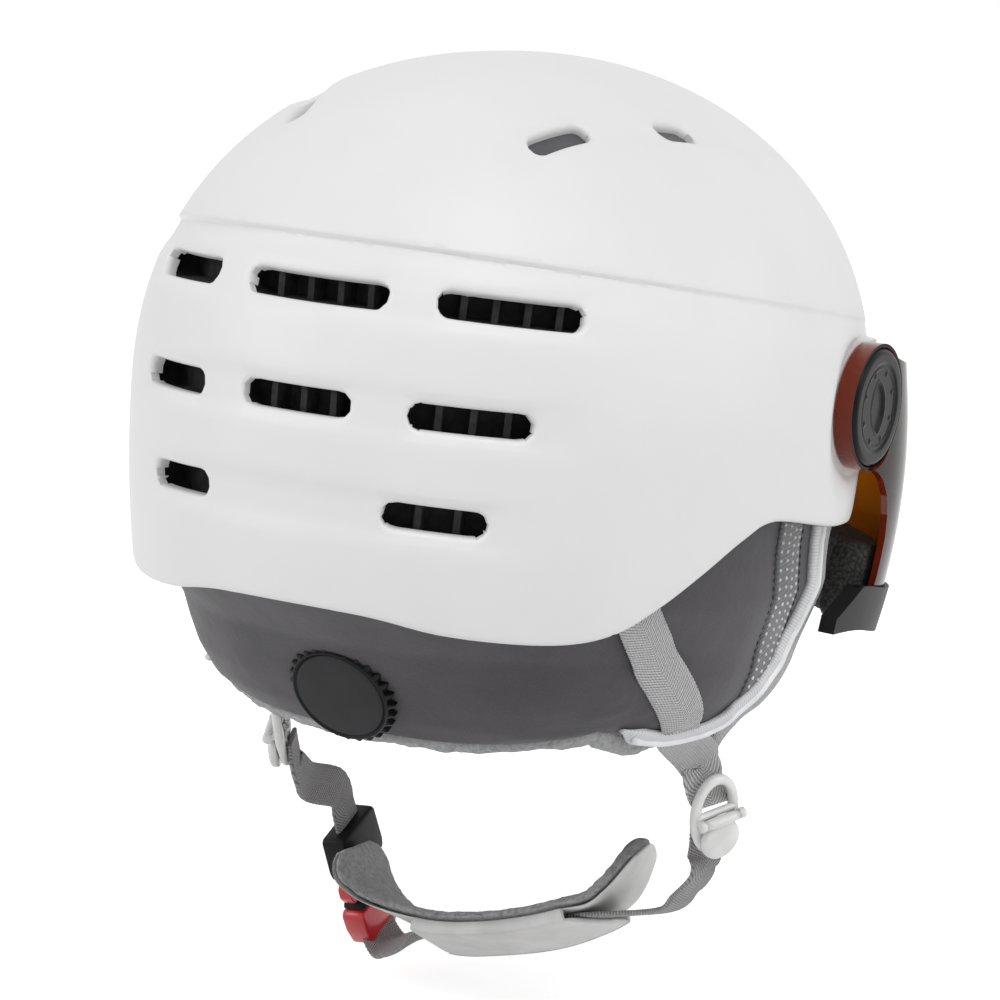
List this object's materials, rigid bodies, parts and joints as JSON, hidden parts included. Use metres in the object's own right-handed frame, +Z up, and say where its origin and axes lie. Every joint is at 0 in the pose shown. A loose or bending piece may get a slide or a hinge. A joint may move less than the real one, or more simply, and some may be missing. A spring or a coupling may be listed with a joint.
{
  "type": "ski helmet",
  "caption": "Ski helmet with hinged amber face shield, soft ear and neck pads, fit dial and padded chin strap with side-release buckle.",
  "frame": {"origin": "middle of the head at ear height, on the helmet's plane of symmetry", "axes": "+Z up as worn, -Y to the front, -X to the wearer's right"},
  "size_m": [0.2174, 0.2927, 0.3211],
  "materials": {
    "shell_white": "soft matt white moulded shell",
    "foam_black": "black beaded foam",
    "pad_grey": "dark grey brushed lining fabric",
    "softshell": "dark grey smooth softshell fabric",
    "fleece_grey": "heathered light grey fleece",
    "mesh_grey": "grey dotted mesh",
    "binding_white": "white elastic and coated fabric",
    "webbing_grey": "light grey herringbone webbing",
    "lens_amber": "amber mirrored lens",
    "trim_black": "satin black plastic",
    "divider_white": "glossy white plastic",
    "buckle_red": "red acetal",
    "steel": "plain steel",
    "brass": "plain brass",
    "nylon": "black nylon"
  },
  "bodies": {
    "helmet": {"brow_pad": "pad_grey", "buckle_plug": "buckle_red", "buckle_socket": "trim_black", "buckle_webbing": "webbing_grey", "chin_backing": "binding_white", "chin_fleece": "fleece_grey", "chin_sleeve": "binding_white", "chin_webbing": "webbing_grey", "crown_mesh_left": "mesh_grey", "crown_mesh_right": "mesh_grey", "crown_pad": "pad_grey", "dial_housing": "trim_black", "divider_left": "divider_white", "divider_right": "divider_white", "ear_binding_left": "binding_white", "ear_binding_right": "binding_white", "ear_fleece_left": "fleece_grey", "ear_fleece_right": "fleece_grey", "ear_mesh_left": "mesh_grey", "ear_mesh_right": "mesh_grey", "ear_pad_left": "softshell", "ear_pad_right": "softshell", "foam_liner": "foam_black", "front_strap_left": "webbing_grey", "front_strap_right": "webbing_grey", "hub_insert_left": "brass", "hub_insert_right": "brass", "hub_screw_left": "steel", "hub_screw_right": "steel", "hub_washer_left": "nylon", "hub_washer_right": "nylon", "lid_pin_left": "steel", "lid_pin_right": "steel", "neck_fleece": "fleece_grey", "neck_pad": "softshell", "outer_shell": "shell_white", "rear_pad_left": "pad_grey", "rear_pad_right": "pad_grey", "rear_strap_left": "webbing_grey", "rear_strap_right": "webbing_grey", "side_pad_left": "pad_grey", "side_pad_right": "pad_grey", "strap_anchors": "trim_black"},
    "visor": {"visor_lens": "lens_amber", "visor_frame": "trim_black", "visor_foam": "foam_black", "hub_cap_left": "trim_black", "hub_cap_right": "trim_black"},
    "fit_dial": {"dial_knob": "trim_black", "dial_pinion": "nylon"},
    "fit_band_right": {"fit_band_right": "nylon"},
    "fit_band_left": {"fit_band_left": "nylon"},
    "cam_lid_right": {"cam_lid_right": "divider_white"},
    "cam_lid_left": {"cam_lid_left": "divider_white"},
    "prong_front": {"buckle_prong_front": "buckle_red"},
    "prong_rear": {"buckle_prong_rear": "buckle_red"}
  },
  "joints": [
    {"name": "visor_hinge", "type": "hinge", "parent": "helmet", "child": "visor", "pos_m": [0, -0.049, 0.042], "axis": [-1, 0, 0], "range_deg": [0, 60]},
    {"name": "dial_turn", "type": "hinge", "parent": "helmet", "child": "fit_dial", "pos_m": [0, 0.09, -0.048], "axis": [0, 0.8829, -0.4695], "range_deg": [-90, 90]},
    {"name": "band_right_slide", "type": "slide", "parent": "helmet", "child": "fit_band_right", "axis": [1, 0, 0], "range_m": [-0.00725, 0.00725]},
    {"name": "band_left_slide", "type": "slide", "parent": "helmet", "child": "fit_band_left", "axis": [1, 0, 0], "range_m": [-0.00725, 0.00725]},
    {"name": "lid_right_hinge", "type": "hinge", "parent": "helmet", "child": "cam_lid_right", "pos_m": [-0.08253, -0.01369, -0.08908], "axis": [0.3964, 0.8919, -0.2178], "range_deg": [0, 80]},
    {"name": "lid_left_hinge", "type": "hinge", "parent": "helmet", "child": "cam_lid_left", "pos_m": [0.08253, -0.01369, -0.08908], "axis": [0.3964, -0.8919, 0.2178], "range_deg": [0, 80]},
    {"name": "prong_front_squeeze", "type": "slide", "parent": "helmet", "child": "prong_front", "axis": [-0.0437, 0.9076, -0.4176], "range_m": [0, 0.002], "stiffness_N_per_m": 2000},
    {"name": "prong_rear_squeeze", "type": "slide", "parent": "helmet", "child": "prong_rear", "axis": [0.0437, -0.9076, 0.4176], "range_m": [0, 0.002], "stiffness_N_per_m": 2000}
  ],
  "couplings": [
    {"joint": "band_right_slide", "follows": "dial_turn", "m_per_rad": 0.0045},
    {"joint": "band_left_slide", "follows": "dial_turn", "m_per_rad": -0.0045}
  ]
}
